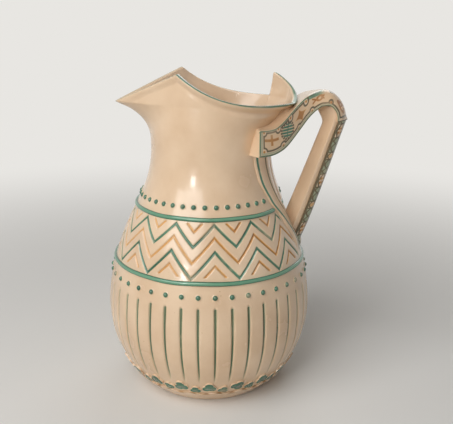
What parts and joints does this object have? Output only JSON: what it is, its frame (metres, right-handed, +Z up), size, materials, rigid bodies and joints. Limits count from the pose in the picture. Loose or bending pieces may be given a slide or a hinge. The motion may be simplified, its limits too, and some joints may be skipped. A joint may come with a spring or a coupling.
{
  "type": "pouring jug",
  "caption": "Glazed earthenware pouring jug with a fluted belly, a chevron shoulder band, a pulled spout and a harp-shaped handle that grips the neck.",
  "frame": {"origin": "middle of the foot ring, on the surface that the jug stands on", "axes": "+Z up, +X from the middle towards the handle, -X towards the spout, +Y to the left of the handle"},
  "size_m": [0.1547, 0.1334, 0.206],
  "materials": {
    "cream_glaze": "glossy clear glaze over ivory clay",
    "green_glaze": "glossy green glaze over relief",
    "brown_glaze": "glossy brown glaze over relief",
    "ochre_glaze": "glossy ochre glaze in incised lines"
  },
  "bodies": {
    "root": {"foot_ring": "cream_glaze", "base_disc": "cream_glaze", "belly": "cream_glaze", "lower_cord": "green_glaze", "shoulder": "cream_glaze", "upper_cord": "green_glaze", "neck": "cream_glaze", "mouth": "cream_glaze", "lower_beads": "green_glaze", "upper_beads": "green_glaze", "garland_leaves": "green_glaze", "garland_vine": "brown_glaze", "handle_yoke": "cream_glaze", "handle_pillar": "cream_glaze", "pillar_band": "cream_glaze", "right_strap": "cream_glaze", "left_strap": "cream_glaze"}
  },
  "joints": []
}
